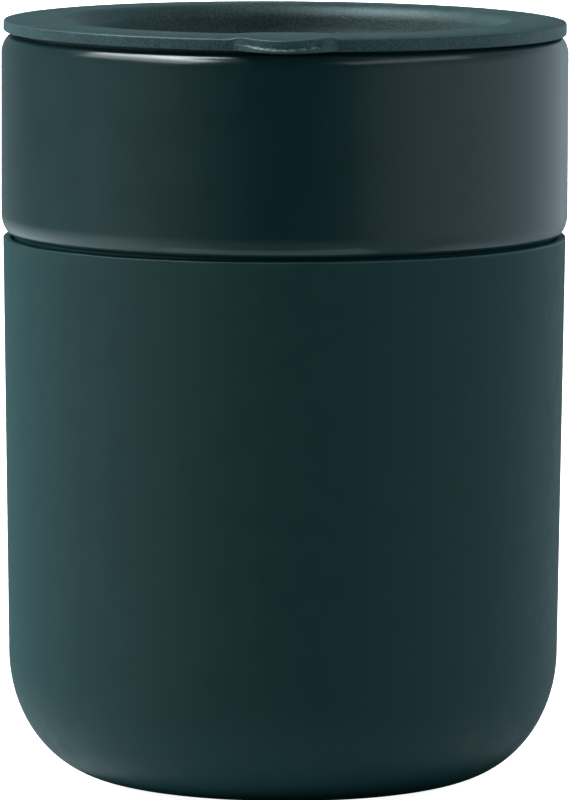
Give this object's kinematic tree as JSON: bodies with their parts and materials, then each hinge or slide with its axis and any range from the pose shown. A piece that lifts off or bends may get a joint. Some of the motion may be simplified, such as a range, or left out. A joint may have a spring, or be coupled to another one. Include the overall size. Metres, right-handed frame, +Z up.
{
  "type": "lidded drinking cup",
  "caption": "Glazed ceramic drinking cup standing in a silicone sleeve, closed by a dished press-in lid with a gasket, a finger tab and a sip slot.",
  "frame": {"origin": "centre of the flat underside, on the surface that the cup stands on", "axes": "+Z up along the cup's axis; the lid's finger tab points towards -Y and the sip slot lies towards +Y"},
  "size_m": [0.086, 0.0894, 0.1158],
  "materials": {
    "sleeve_silicone": "matte silicone, dark green",
    "cup_glaze": "satin glaze, dark green",
    "gasket_silicone": "matte silicone, dark green",
    "lid_plastic": "fine-grained matte plastic, dark blue-green"
  },
  "bodies": {
    "sleeve": {"silicone_sleeve": "sleeve_silicone"},
    "cup": {"cup_body": "cup_glaze"},
    "gasket": {"lid_gasket": "gasket_silicone"},
    "lid": {"lid": "lid_plastic"}
  },
  "joints": [
    {"name": "cup_lift", "type": "slide", "parent": "sleeve", "child": "cup", "axis": [0, 0, 1], "range_m": [0, 0.09]},
    {"name": "lid_lift", "type": "slide", "parent": "cup", "child": "gasket", "axis": [0, 0, 1], "range_m": [0, 0.05]},
    {"name": "lid_turn", "type": "hinge", "parent": "gasket", "child": "lid", "pos_m": [0, 0, 0.1082], "axis": [0, 0, 1], "continuous": true}
  ]
}
